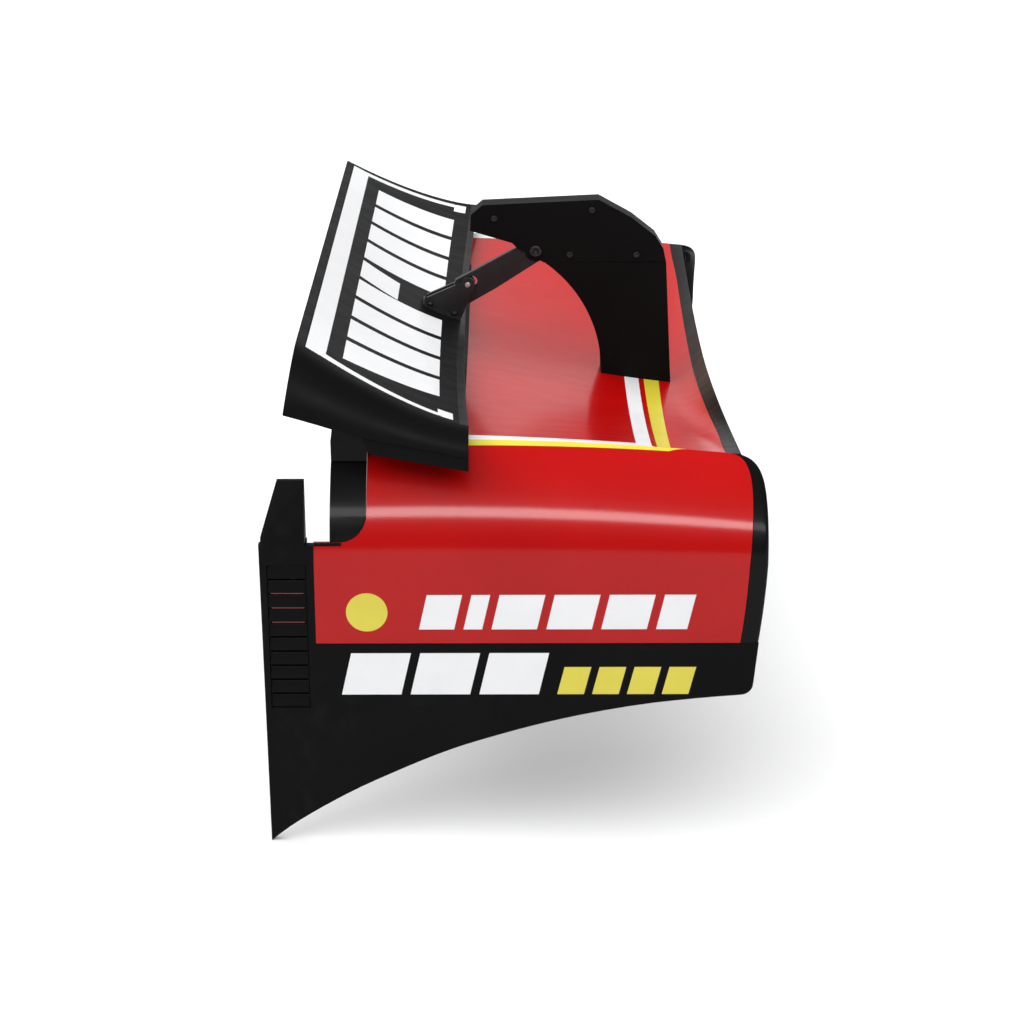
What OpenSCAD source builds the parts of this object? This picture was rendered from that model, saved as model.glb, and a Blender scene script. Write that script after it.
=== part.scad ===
// Rear wing for a single-seater racing car, with a hydraulically opened flap.
// Lengths are millimetres. Every outline is drawn from the lower rear tip of an endplate:
// X runs forward, Z runs up and Y is measured from the centre plane of the wing.
// place() then moves the wing so that the origin is the centre of the pillar mount's face.

/* [Overall] */
// Distance from the centre plane to the outer face of an endplate
half_span = 480; // [470:1:500]
// Thickness of an endplate
plate_t = 8; // [6:0.5:10]
// Facets of every round face
facets = 48; // [32:4:96]

/* [Mainplane] */
// Greatest thickness of the mainplane
main_depth = 26; // [24:1:28]
// Thickness of the mainplane's skins
main_skin = 1.6; // [1.2:0.1:1.8]
// Width of the black nose moulding
nose_w = 12; // [10:1:14]
// Width of the rolled corner, seen from above
roll_w = 70; // [68:1:72]
// Height of the rolled corner's lower edge
roll_z = 294; // [290:1:298]

/* [Flap] */
// Greatest thickness of the flap
flap_depth = 16; // [15:0.5:18]
// Thickness of the flap's skins
flap_skin = 1.4; // [1:0.1:1.5]
// Wall of the rolled flap tips
cap_wall = 4; // [3:0.5:5]

/* [Pylon and pod] */
// Half the thickness of the pylon and of the pod
pod_half = 14; // [13.5:0.5:16]
// Wall of the pod covers
pod_wall = 3; // [2.5:0.5:3]
// Radius of the rocker's pin
rocker_pin_r = 4; // [3.5:0.5:4.5]

/* [Actuator] */
// Outside radius of the hydraulic cylinder
cylinder_r = 10.5; // [10:0.1:10.8]
// Bore radius of the hydraulic cylinder
bore_r = 8; // [7:0.5:8]
// Radius of the piston rod
rod_r = 4; // [3:0.5:4.5]

/* [Mount] */
// Spacing of the mounting holes along the car
mount_dx = 50; // [46:1:52]
// Spacing of the mounting holes across the car
mount_dy = 40; // [36:1:44]
// Radius of the mounting holes
mount_hole_r = 4.25; // [3.2:0.05:5]
// Depth of the mounting holes
mount_hole_depth = 22; // [18:1:24]

/* [Hidden] */

$fn = facets;

// Small gap between pieces that meet, and how far a cutting tool runs past a face
gap = 0.3;
over = 1;

// Colours of the finished pieces
RED = [0.80, 0.06, 0.05];
BLACK = [0.07, 0.07, 0.08];
CARBON = [0.14, 0.14, 0.15];
STEEL = [0.62, 0.63, 0.65];
ALLOY = [0.75, 0.76, 0.78];
BRONZE = [0.72, 0.53, 0.28];
LENS = [0.75, 0.03, 0.04];
BOARD = [0.05, 0.30, 0.12];

// Mount: the row's origin, seen from the endplate's lower rear tip
mount_x = 375;
mount_z = 300;
block_l = 70;
block_w = 60;
block_top = 329.4;

// Mainplane: the dip in its upper face, its trailing edge, and the rolled corner's crest
dip_x = 421;
dip_z = 331;
nose_x = 460;
tail_x = 178;
tip_tail_x = 101;
crest_top_x = 160;
crest_top_z = 399;
crest_curve = 0.00017;
roll_power = 1.6;
crest_y = half_span - roll_w;
taper_y = crest_y - 95;
sweep_y = crest_y - 125;
main_sections = 40;
main_stations = 12;
closing_u = 0.95;
tail_joints = [-0.7, -0.36, 0, 0.36, 0.7];
front_spar_x = 415;
rear_spar_x = 285;
spar_t = 3;
spar_end_y = crest_y - 7;
rib_ys = [45, 135, 225, 315];
rib_t = 3;
inner_gap = 0.6;

// Endplate outline
crease_z = 317;
fin_top_z = 376;
fin_rear_x = 16;
column_x = 42;
red_x = 50;
red_z = 214;
notch_floor_z = 318;
notch_r = 26;
front_x = 486;
arch_points = [[0, 0], [29, 22.5], [79, 53], [129, 78], [179, 100], [228, 116.5],
    [277, 130.5], [326, 141.5], [375, 150], [423, 155.5], [464, 159]];
fin_inner_y = half_span - 22;
fin_top_y = half_span - 17;
band_w = 18;

// Rain light in the rear column of each endplate
light_x0 = 5;
light_x1 = 43;
flange_w = 7;
light_z0 = 146;
light_z1 = 296;
light_depth = 14;
slat_count = 10;
slat_pitch = 15;
groove_h = 8;
groove_depth = 4;
lens_z0 = 230;
lens_z1 = 279;
lens_t = 3;
board_t = 2.5;
light_y0 = half_span - light_depth;
light_screw_xzs = [[46, light_z0 + 6], [46, light_z1 - 6]];

// Flap: both edges of its chord, and where its top turns down into the rolled tips
flap_te_x = 33;
flap_te_z = 495;
flap_le_x = 189;
flap_le_z = 403;
flap_le_sweep = 10;
flap_le_rise = 20;
flap_power = 1.35;
crease_te_y = half_span - 78;
crease_le_y = half_span - 30;
skirt_te_y = half_span - 25;
skirt_le_y = half_span - 2;
flap_sections = 20;
flap_stations = 12;
cap_lean = 10;
flap_te_v = 0.05;
flap_le_v = 0.95;
flap_spar_v = 0.50;
flap_spar_w = 0.02;
flap_rib_ys = [60, 160, 260, 360];

// Flap hinge and tip posts
hinge_x = 80;
hinge_z = 440;
hinge_pin_r = 5;
bush_r = 8;
bush_clear = 0.05;
post_x0 = 66;
post_x1 = 100.4;
post_top_y = half_span - 60;
post_top_w = 14;
post_foot_y = half_span - plate_t - 8;
post_foot_z = 262;
post_head_r = 9.5;
post_t = 16;
post_roll_a = 59;
post_neck_z = 405;
post_bolt_zs = [271, 287];
bracket_w = 10;

// Pylon and pod outlines
pylon_x0 = 342;
pylon_x1 = 421.5;
shoulder_z = 471;
neck_c = [189, 346];
neck_r = 153.4;
neck_top_a = 54.5;
pod_roof = [[196, 525], [209, 536], [338, 542], [375, 521.5], [401, 501], [410, 487],
    [413.4, shoulder_z + 0.8]];
pod_floor = [[277, shoulder_z], [247.6, 487], [242, 493], [195, 507]];
pod_inner = pod_half - pod_wall;
tongue_x0 = 292;
tongue_x1 = 388;
tongue_top = 505;
pod_screw_xzs = [[222, 521], [330, 530.5], [306, 480], [380, 480]];
pod_screw_r = 2;
pylon_bolt_xs = [mount_x - 24, mount_x + 24];
pylon_bolt_r = 4;

// Rocker, its two arms and the actuator's line
rocker_x = 268;
rocker_z = 484;
horn_x = 192;
horn_z = 444;
lever = 27;
actuator_z = rocker_z + lever;
arm_angle = atan2(horn_z - rocker_z, horn_x - rocker_x) + 360;
rocker_turn = 32.3;
lever_angle = 90 + rocker_turn / 2;
clevis_x = rocker_x - lever * tan(rocker_turn / 2);
roller_r = 5;
horn_pin_r = 3;
slot_inner = 80.6;
slot_outer = 89.0;
slot_clear = 1.4;
plate_half = 4;
hub_r = 10;
hub_half = pod_inner - 0.4;
rocker_bush_r = 6;
cylinder_x0 = 300;
cylinder_x1 = 362;
piston_x = 312;
pipe_x = 369;
pipe_r = 3;
horn_lug = [4.6, 9];
horn_x0 = 142;
horn_x1 = 184;
horn_base = 3;
horn_screw_xs = [150, 177];
horn_screw_y = 12.5;
insert_x0 = 144;
insert_x1 = 180;

// Grids of the mainplane: chord fractions behind the nose, and distances from the centre plane
nose_u = nose_w / (nose_x - tail_x);
main_ys = steps(-crest_y, crest_y, main_sections);
main_us = [for (i = [0 : main_stations])
    nose_u + (closing_u - nose_u) * pow(1 - i / main_stations, 1.6)];

// Heights down the endplate, and roll angles over the corner, of the red shell's rows
shell_flat_zs = steps(red_z + gap, roll_z - 32, 2);
notch_a = asin((notch_floor_z - roll_z) / (crest_z(tip_tail_x) - roll_z));
roll_angles = concat([0, notch_a / 2, notch_a - 0.1], [for (d = [0.05, 2.5, 6, 12, 18, 27]) notch_a + d],
    steps(45, 90, 5));

// Grid of the flap: shares of its half span, and shares of its chord
flap_ws = steps(-1, 1, flap_sections);
flap_vs = steps(flap_te_v, flap_le_v, flap_stations);

// ---- Functions ----

// Rises smoothly from 0 to 1 as t goes from 0 to 1
function smooth(t) = let (c = min(1, max(0, t))) c * c * (3 - 2 * c);

// Depth of a wing section at fraction u behind its nose, for a greatest depth of 1
function section(u) =
    10 * (0.2969 * sqrt(u) - 0.126 * u - 0.3516 * u * u + 0.2843 * pow(u, 3) - 0.1015 * pow(u, 4));

// Height of the mainplane's upper face on the centre plane
function centre_z(x) =
    let (d = dip_x - x) dip_z + 0.11 * d + (d > 0 ? 0.00037 : 0.0186) * d * d;

// Height of the rolled corner's crest
function crest_z(x) = crest_top_z - crest_curve * pow(max(x, tip_tail_x) - crest_top_x, 2);

// Nose and tail of the mainplane at a distance y from the centre plane
function main_nose(y) = nose_x + 3 * pow(abs(y) / crest_y, 2);
function main_tail(y) =
    tail_x - (tail_x - tip_tail_x) * smooth((abs(y) - sweep_y) / (crest_y - sweep_y));

// Upper face of the mainplane: the sides rise from the centre to the crest
function main_z(x, y) =
    centre_z(x) + (crest_z(x) - centre_z(x)) * pow(min(1, abs(y) / crest_y), 1.6);
function main_x(u, y) = main_nose(y) - u * (main_nose(y) - main_tail(y));
function main_t(u, y) =
    1.2 + 2.6 * u + main_depth * section(u) * (1 - 0.55 * smooth((abs(y) - taper_y) / 95));
function main_u(x, y) = (main_nose(y) - x) / (main_nose(y) - main_tail(y));
function main_top(u, y, down = 0) =
    let (x = main_x(u, y)) [x, y, main_z(x, y) - down];
function main_low(u, y, up = 0) =
    let (x = main_x(u, y)) [x, y, main_z(x, y) - main_t(u, y) + up];

// Front edge of the endplate and of the rolled corner
function plate_front(z) = front_x - 0.00058 * pow(z - 325, 2);
function roll_front(a) =
    let (low = plate_front(roll_z)) low - (low - main_nose(crest_y)) * pow(a / 90, 5);

// Point of the rolled corner at angle a (0 at the endplate, 90 at the crest), down inside its wall
function roll_point(x, a, down) =
    [x, crest_y + (roll_w - down) * pow(cos(a), roll_power), roll_z + (crest_z(x) - roll_z - down) * sin(a)];

// Flap: v is 0 at the trailing edge and 1 at the nose
function flap_nose(y) = flap_le_x + flap_le_sweep * pow(abs(y) / crease_le_y, 2);
function flap_x(v, y) = flap_te_x + v * (flap_nose(y) - flap_te_x);
function flap_z(v, y) =
    flap_te_z - (flap_te_z - flap_le_z - flap_le_rise * pow(abs(y) / 420, 2))
        * (1 - pow(1 - v, flap_power));
function flap_t(v) = 1.2 + 2 * (1 - v) + flap_depth * section(1 - v);
function flap_top(v, y, down = 0) = [flap_x(v, y), y, flap_z(v, y) - down];
function flap_low(v, y, up = 0) = [flap_x(v, y), y, flap_z(v, y) - flap_t(v) + up];
function flap_v(x, y) = (x - flap_te_x) / (flap_nose(y) - flap_te_x);
function crease_y(v) = crease_te_y + (crease_le_y - crease_te_y) * v;
function skirt_y(v) = skirt_te_y + (skirt_le_y - skirt_te_y) * v;
function skirt_z(v) =
    let (k = smooth((v - 0.38) / 0.06)) (438 - 50 * v) * (1 - k) + (402 - 23 * (v - 0.42)) * k;

// Point of a rolled flap tip at angle a (0 at the crease, 90 at the lower edge); its rear edge leans back
function cap_point(v, a, down) =
    let (y0 = crease_y(v) + gap, z0 = flap_z(v, y0) - down)
    [flap_x(v, y0) - cap_lean * pow(1 - v, 4) * (1 - cos(a)), y0 + (skirt_y(v) - y0 - down) * sin(a),
        skirt_z(v) + (z0 - skirt_z(v)) * cos(a)];

// Outline moved sideways by d, for a chain of points whose inside is on its right
function chain_in(p, d) = [for (i = [0 : len(p) - 1])
    let (a = p[max(0, i - 1)], b = p[min(len(p) - 1, i + 1)], t = (b - a) / norm(b - a))
    p[i] + d * [t.y, -t.x]];

// Smooth curve through points p, with n steps from one to the next
function curve_through(p, n) = concat([for (i = [0 : len(p) - 2], k = [0 : n - 1])
    let (a = p[max(0, i - 1)], b = p[i], c = p[i + 1], d = p[min(len(p) - 1, i + 2)], t = k / n)
    b + ((c - a) * t + (2 * a - 5 * b + 4 * c - d) * t * t + (3 * b - a - 3 * c + d) * pow(t, 3)) / 2],
    [p[len(p) - 1]]);

function reversed(p) = [for (i = [len(p) - 1 : -1 : 0]) p[i]];
function arc(c, r, a0, a1, n) =
    [for (i = [0 : n]) let (a = a0 + (a1 - a0) * i / n) c + r * [cos(a), sin(a)]];
function steps(a, b, n) = [for (i = [0 : n]) a + (b - a) * i / n];

// ---- Helpers ----

module place() translate([-mount_x, 0, -mount_z]) children();

// The left side as drawn, or its mirror image on the right
module side(left) mirror([0, left ? 0 : 1, 0]) children();
module both() {
    side(true) children();
    side(false) children();
}

// Flat shape in X and Z, thick from y0 to y1
module plate(y0, y1) translate([0, y1, 0]) rotate([90, 0, 0]) linear_extrude(y1 - y0) children();
module rod_y(x, z, y0, y1, r) plate(y0, y1) translate([x, z]) circle(r);
module rod_x(x0, x1, r) translate([x0, 0, actuator_z]) rotate([0, 90, 0]) cylinder(h = x1 - x0, r = r);
module rod_z(x, y, z0, z1, r) translate([x, y, z0]) cylinder(h = z1 - z0, r = r);
module block(x0, x1, y0, y1, z0, z1) translate([x0, y0, z0]) cube([x1 - x0, y1 - y0, z1 - z0]);
module slot_2d(r, s0, s1) {
    translate([s0, 0]) circle(r);
    translate([s1, 0]) circle(r);
    translate([s0, -r]) square([s1 - s0, 2 * r]);
}

// Closed solid between two grids of points; rows run outboard and columns run forward
module slab(top, bottom) {
    rows = len(top);
    cols = len(top[0]);
    n = rows * cols;
    points = concat([for (r = top) each r], [for (r = bottom) each r]);
    quads = concat(
        [for (i = [0 : rows - 2], j = [0 : cols - 2])
            let (a = i * cols + j) [a, a + cols, a + cols + 1, a + 1]],
        [for (i = [0 : rows - 2], j = [0 : cols - 2])
            let (a = n + i * cols + j) [a, a + 1, a + cols + 1, a + cols]],
        [for (i = [0 : rows - 2]) let (a = i * cols) [a, n + a, n + a + cols, a + cols]],
        [for (i = [0 : rows - 2]) let (a = i * cols + cols - 1) [a, a + cols, n + a + cols, n + a]],
        [for (j = [0 : cols - 2]) [j, j + 1, n + j + 1, n + j]],
        [for (j = [0 : cols - 2]) let (a = n - cols + j) [a, n + a, n + a + 1, a + 1]]);
    polyhedron(points, [for (q = quads) each [[q[0], q[1], q[2]], [q[0], q[2], q[3]]]], convexity = 10);
}

// Part of the mainplane between two chord fractions, from depth a below the top to b above the bottom
module main_solid(ys, us, a = 0, b = 0) slab(
    [for (y = ys) [for (u = us) main_top(u, y, a)]],
    [for (y = ys) [for (u = us) main_low(u, y, b)]]);
module flap_solid(ws, vs, a = 0, b = 0) slab(
    [for (w = ws) [for (v = vs) flap_top(v, w * crease_y(v), a)]],
    [for (w = ws) [for (v = vs) flap_low(v, w * crease_y(v), b)]]);

// ---- Mainplane ----

module mainplane_upper_skin() color(RED) place() difference() {
    slab([for (y = main_ys) [for (u = main_us) main_top(u, y)]],
        [for (y = main_ys) [for (u = main_us) main_top(u, y, main_skin)]]);
    block(pylon_x0 - gap, pylon_x1 + gap, -pod_half - gap, pod_half + gap, dip_z - 20, dip_z + 40);
}

module mainplane_lower_skin() color(CARBON) place() difference() {
    slab([for (y = main_ys) [for (u = main_us) main_low(u, y, main_skin)]],
        [for (y = main_ys) [for (u = main_us) main_low(u, y)]]);
    block(mount_x - block_l / 2 - gap, mount_x + block_l / 2 + gap,
        -block_w / 2 - gap, block_w / 2 + gap, mount_z - 20, block_top);
}

module mainplane_leading_edge() color(BLACK) place() main_solid(main_ys, steps(nose_u, 0, 4));

// The closing strip is made in lengths, with a hairline joint between them
module mainplane_trailing_edge() color(BLACK) place() difference() {
    main_solid(main_ys, [1, closing_u]);
    for (share = tail_joints) let (y = share * crest_y)
        block(tip_tail_x - over, nose_x, y - gap / 2, y + gap / 2, dip_z, crest_top_z + over);
}

module main_web(x0, x1, ys) slab(
    [for (y = ys) [for (x = [x0, x1]) main_top(main_u(x, y), y, main_skin + 2 * inner_gap)]],
    [for (y = ys) [for (x = [x0, x1]) main_low(main_u(x, y), y, main_skin + inner_gap)]]);

module mainplane_front_spar() color(CARBON) place()
    main_web(front_spar_x, front_spar_x + spar_t, steps(-spar_end_y, spar_end_y, main_sections));
module mainplane_rear_spar() color(CARBON) place()
    main_web(rear_spar_x, rear_spar_x + spar_t, steps(-spar_end_y, spar_end_y, main_sections));

module mainplane_ribs() color(CARBON) place() for (side_sign = [-1, 1], y = rib_ys) {
    xs = steps(rear_spar_x + spar_t, front_spar_x, 6);
    ys = side_sign > 0 ? [y, y + rib_t] : [-y - rib_t, -y];
    slab([for (yy = ys) [for (x = xs) main_top(main_u(x, yy), yy, main_skin + 2 * inner_gap)]],
        [for (yy = ys) [for (x = xs) main_low(main_u(x, yy), yy, main_skin + 2 * inner_gap)]]);
}

// ---- Endplates ----

// Black plate: rear column and fin, lower part with the arch, and front corner
module endplate_outline() polygon(concat(
    curve_through(arch_points, 4),
    arc([463, 171], 12, -80, 0, 5),
    [[plate_front(red_z), red_z], [red_x, red_z], [red_x, crease_z - 1], [column_x, crease_z - 1],
        [column_x, fin_top_z], [fin_rear_x, fin_top_z], [-2, crease_z]]));

module endplate(left) color(BLACK) place() side(left) difference() {
    union() {
        intersection() {
            plate(half_span - plate_t, half_span) endplate_outline();
            block(-10, 500, 0, half_span + over, -over, crease_z);
        }
        intersection() {
            plate(fin_inner_y - over, half_span) endplate_outline();
            rotate([90, 0, 90]) linear_extrude(column_x + over)
                polygon([[fin_inner_y, crease_z - 12], [half_span, crease_z - 12], [half_span, crease_z],
                    [fin_top_y, fin_top_z], [fin_inner_y, fin_top_z]]);
        }
    }
    block(light_x0, light_x1, half_span - light_depth - over, half_span + over, light_z0, light_z1);
    for (p = light_screw_xzs) rod_y(p.x, p.y, half_span - plate_t - over, half_span - 3, 1.5);
}

// Rear edge of the red shell: the rear column, then the notch's floor, corner and front edge
function shell_rear(z) = z < notch_floor_z ? red_x + gap
    : z < notch_floor_z + notch_r
        ? tip_tail_x - notch_r * (1 - sin(acos(1 - (z - notch_floor_z) / notch_r)))
        : tip_tail_x;

function band_inner(z) = plate_front(z) - band_w;

// One row of the shell: a flat part below roll_z, then the roll
function shell_row(a, down, x0, x1) = [for (x = steps(x0, x1, 12)) roll_point(x, a, down)];
function flat_row(z, down, x0, x1) = [for (x = steps(x0, x1, 12)) [x, half_span - down, z]];
function roll_rear(a) = shell_rear(roll_point(tip_tail_x, a, 0).z);

function shell_grid(down) = concat(
    [for (a = reversed(roll_angles)) shell_row(a, down, roll_rear(a), roll_front(a) - band_w + 6 * sin(a))],
    [for (z = reversed(shell_flat_zs)) flat_row(z, down, red_x + gap, band_inner(z))]);

module tip_shell(left) color(RED) place() side(left) difference() {
    slab(shell_grid(0), shell_grid(plate_t));
    for (z = post_bolt_zs) rod_y(hinge_x, z, half_span - plate_t - over, half_span - 3, 3.1);
}

function band_grid(down) = concat(
    [for (a = reversed(roll_angles)) let (x1 = roll_front(a))
        [for (x = steps(x1 - band_w + 6 * sin(a) + gap, x1, 3)) roll_point(x, a, down)]],
    [for (z = reversed(shell_flat_zs))
        [for (x = steps(band_inner(z) + gap, plate_front(z), 3)) [x, half_span - down, z]]]);

module front_band(left) color(BLACK) place() side(left) slab(band_grid(0), band_grid(plate_t));

// ---- Tip posts and the flap's pivots ----

// Line of the rolled corner seen from behind, at depth down, between two roll angles
function roll_line(down, a0, a1) =
    [for (a = steps(a0, a1, 10)) let (p = roll_point(tip_tail_x, a, down)) [p.y, p.z]];

// Body between two chains of points seen from behind: the outer one runs up and the inner one down
module post_body(outer, inner) translate([post_x0, 0, 0]) rotate([90, 0, 90])
    linear_extrude(post_x1 - post_x0) polygon(concat(outer, inner));

// The post carries on the line of the rolled corner, with a foot inside the endplate
module tip_post(left) color(BLACK) place() side(left) difference() {
    union() {
        intersection() {
            post_body(roll_line(0, notch_a, post_roll_a), reversed(roll_line(post_t, notch_a, post_roll_a)));
            plate(0, half_span) polygon(concat([[post_x0, notch_floor_z + gap]],
                arc([tip_tail_x - notch_r, notch_floor_z + notch_r], notch_r - gap, -90, -5, 8),
                [[post_x1, post_neck_z], [post_x0, post_neck_z]]));
        }
        intersection() {
            post_body(concat([[post_foot_y + plate_t, post_foot_z]],
                roll_line(plate_t + gap, 0, post_roll_a),
                [[post_top_y + post_top_w, post_neck_z],
                [post_top_y + post_top_w, hinge_z + post_head_r]]),
                concat([[post_top_y, hinge_z + post_head_r], [post_top_y, post_neck_z - 20]],
                reversed(roll_line(post_t, 0, post_roll_a)), [[post_foot_y, post_foot_z]]));
            plate(0, half_span) {
                polygon([[post_x0, post_foot_z], [post_x1, post_foot_z], [post_x1, post_neck_z],
                    [hinge_x + post_head_r, hinge_z], [hinge_x - post_head_r, hinge_z],
                    [post_x0, post_neck_z]]);
                translate([hinge_x, hinge_z]) circle(post_head_r);
            }
        }
    }
    rod_y(hinge_x, hinge_z, post_top_y - over, post_top_y + post_top_w + over, bush_r);
    for (z = post_bolt_zs) rod_y(hinge_x, z, post_foot_y - over, half_span - plate_t + over, 3.1);
}

module pivot_bushes() color(BRONZE) place() both() difference() {
    union() {
        rod_y(hinge_x, hinge_z, post_top_y, post_top_y + post_top_w, bush_r);
        rod_y(hinge_x, hinge_z, post_top_y - 1.5, post_top_y, bush_r + 1.5);
    }
    rod_y(hinge_x, hinge_z, post_top_y - 3, post_top_y + post_top_w + over, hinge_pin_r + bush_clear);
}

module post_bolts() color(STEEL) place() both() for (z = post_bolt_zs) {
    rod_y(hinge_x, z, post_foot_y, half_span - 3.2, 3);
    rod_y(hinge_x, z, post_foot_y - 4, post_foot_y, 5.2);
}

// ---- Rain lights ----

module light_housing(left) color(BLACK) place() side(left) difference() {
    union() {
        block(light_x0, light_x1, light_y0, half_span, light_z0, light_z1);
        block(light_x0, light_x1 + flange_w, light_y0, half_span - plate_t, light_z0, light_z1);
    }
    for (i = [0 : slat_count - 1])
        block(light_x0 - over, light_x1 - 2, half_span - groove_depth, half_span + over,
            light_z0 + 3 + i * slat_pitch, light_z0 + 3 + i * slat_pitch + groove_h);
    block(light_x0 + 3, light_x1 - 3, half_span - groove_depth - lens_t - board_t,
        half_span - groove_depth + 0.01, lens_z0, lens_z1);
    for (p = light_screw_xzs) rod_y(p.x, p.y, light_y0 - over, half_span, 1.6);
}

module light_lens(left) color(LENS) place() side(left)
    block(light_x0 + 3, light_x1 - 3, half_span - groove_depth - lens_t, half_span - groove_depth,
        lens_z0, lens_z1);

module light_board(left) color(BOARD) place() side(left)
    block(light_x0 + 3, light_x1 - 3, half_span - groove_depth - lens_t - board_t,
        half_span - groove_depth - lens_t, lens_z0, lens_z1);

module light_screws() color(STEEL) place() both() for (p = light_screw_xzs) {
    rod_y(p.x, p.y, light_y0, half_span - 3.2, 1.4);
    rod_y(p.x, p.y, light_y0 - 2, light_y0, 2.8);
}

// ---- Hardpoint, pylon and pod ----

module hardpoint_block() color(ALLOY) place() difference() {
    block(mount_x - block_l / 2, mount_x + block_l / 2, -block_w / 2, block_w / 2, mount_z, block_top);
    for (i = [-1, 1], j = [-1, 1])
        rod_z(mount_x + i * mount_dx / 2, j * mount_dy / 2, mount_z - over, mount_z + mount_hole_depth,
            mount_hole_r);
    for (x = pylon_bolt_xs) {
        rod_z(x, 0, mount_z - over, block_top + over, pylon_bolt_r + 0.2);
        rod_z(x, 0, mount_z - over, mount_z + 8, 7);
    }
    rod_z(pipe_x, 0, mount_z - over, block_top + over, pipe_r + gap);
}

module pylon() color(BLACK) place() difference() {
    union() {
        plate(-pod_half, pod_half) polygon(concat(
            [[pylon_x0, block_top], [pylon_x1, block_top], [pylon_x1, dip_z], [413.6, shoulder_z]],
            arc(neck_c, neck_r, neck_top_a, -2, 24)));
        block(tongue_x0, tongue_x1, -pod_inner, pod_inner, shoulder_z - over, tongue_top);
    }
    rod_x(tongue_x0 - over, cylinder_x1 + over, cylinder_r + 0.05);
    rod_z(pipe_x, 0, block_top - over, tongue_top + over, pipe_r + gap);
    for (x = pylon_bolt_xs) rod_z(x, 0, block_top - over, block_top + 26, pylon_bolt_r + 0.05);
    for (p = [pod_screw_xzs[2], pod_screw_xzs[3]])
        rod_y(p.x, p.y, -pod_half, pod_half, pod_screw_r + 0.1);
}

module pylon_bolts() color(STEEL) place() for (x = pylon_bolt_xs) {
    rod_z(x, 0, mount_z + 1, mount_z + 8, 6.5);
    rod_z(x, 0, mount_z + 8, block_top + 24, pylon_bolt_r);
}

module pod_cover(left) color(BLACK) place() side(left) difference() {
    union() {
        plate(pod_inner, pod_half) {
            polygon(concat(pod_roof, pod_floor));
            translate([rocker_x, rocker_z]) circle(12);
        }
        plate(0, pod_half) polygon(concat(pod_roof, reversed(chain_in(pod_roof, pod_wall))));
    }
    rod_y(rocker_x, rocker_z, -over, pod_half + over, rocker_pin_r + 0.02);
    for (p = pod_screw_xzs) rod_y(p.x, p.y, -over, pod_half + over, pod_screw_r + 0.1);
}

module pod_screws() color(STEEL) place() for (p = pod_screw_xzs) {
    rod_y(p.x, p.y, -pod_half, pod_half, pod_screw_r);
    rod_y(p.x, p.y, -pod_half - 2, -pod_half, 3.6);
    rod_y(p.x, p.y, pod_half, pod_half + 2, 3.6);
}

module rocker_pin() color(STEEL) place() {
    rod_y(rocker_x, rocker_z, -pod_half, pod_half, rocker_pin_r);
    for (s = [0, 1]) mirror([0, s, 0]) rod_y(rocker_x, rocker_z, pod_half, pod_half + 3, 7);
}

// ---- Actuator ----

module actuator_cylinder() color(ALLOY) place() difference() {
    rod_x(cylinder_x0, cylinder_x1, cylinder_r);
    rod_x(cylinder_x0 - over, cylinder_x1 - 8, bore_r);
}

module cylinder_gland() color(BRONZE) place() difference() {
    union() {
        rod_x(cylinder_x0 - 4, cylinder_x0, cylinder_r);
        rod_x(cylinder_x0, cylinder_x0 + 8, bore_r);
    }
    rod_x(cylinder_x0 - 5, cylinder_x0 + 9, rod_r + 0.05);
}

module hydraulic_fitting() color(STEEL) place() rod_x(cylinder_x1, cylinder_x1 + 12, 6);
module hydraulic_pipe() color(STEEL) place() rod_z(pipe_x, 0, mount_z, actuator_z - 6.1, pipe_r);

module clevis() color(ALLOY) place() difference() {
    union() {
        rod_y(clevis_x, actuator_z, -8, 8, 7);
        block(clevis_x, clevis_x + 16, -8, 8, actuator_z - 7, actuator_z + 7);
    }
    block(clevis_x - 8, clevis_x + 9.8, -plate_half - 0.6, plate_half + 0.6,
        actuator_z - 8, actuator_z + 8);
    rod_y(clevis_x, actuator_z, -9, 9, 3);
    rod_x(clevis_x + 12, clevis_x + 17, rod_r);
}

module clevis_pin() color(STEEL) place() rod_y(clevis_x, actuator_z, -9, 9, 3);
module piston_rod() color(STEEL) place() rod_x(clevis_x + 12, piston_x + 10, rod_r);
module piston() color(BRONZE) place() difference() {
    rod_x(piston_x, piston_x + 10, bore_r - 0.06);
    rod_x(piston_x - over, piston_x + 11, rod_r);
}

module rocker() color(ALLOY) place() translate([rocker_x, 0, rocker_z]) difference() {
    union() {
        plate(-plate_half, plate_half) {
            rotate(arm_angle) polygon([[0, -11], [20, -11], [70, -10], [96, -10], [101, -5], [101, 10],
                [95, 21], [60, 19.5], [0, 14]]);
            rotate(lever_angle) slot_2d(6, 0, 28.5);
        }
        plate(-hub_half, hub_half) circle(hub_r);
    }
    plate(-plate_half - over, plate_half + over) {
        rotate(arm_angle) slot_2d(roller_r + slot_clear, slot_inner, slot_outer);
        rotate(lever_angle) slot_2d(3.45, 26.6, 28.5);
    }
    plate(-hub_half - over, hub_half + over) circle(rocker_bush_r);
}

module rocker_bushes() color(BRONZE) place() for (s = [0, 1]) mirror([0, s, 0]) difference() {
    rod_y(rocker_x, rocker_z, 0.2, hub_half, rocker_bush_r);
    rod_y(rocker_x, rocker_z, -over, hub_half + over, rocker_pin_r + 0.05);
}

// ---- Flap ----

module flap_upper_skin() color(BLACK) place() difference() {
    slab([for (w = flap_ws) [for (v = flap_vs) flap_top(v, w * crease_y(v))]],
        [for (w = flap_ws) [for (v = flap_vs) flap_top(v, w * crease_y(v), flap_skin)]]);
    for (x = horn_screw_xs, s = [-1, 1]) rod_z(x, s * horn_screw_y, 380, 440, 2.1);
}

module flap_lower_skin() color(BLACK) place()
    slab([for (w = flap_ws) [for (v = flap_vs) flap_low(v, w * crease_y(v), flap_skin)]],
        [for (w = flap_ws) [for (v = flap_vs) flap_low(v, w * crease_y(v))]]);

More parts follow.
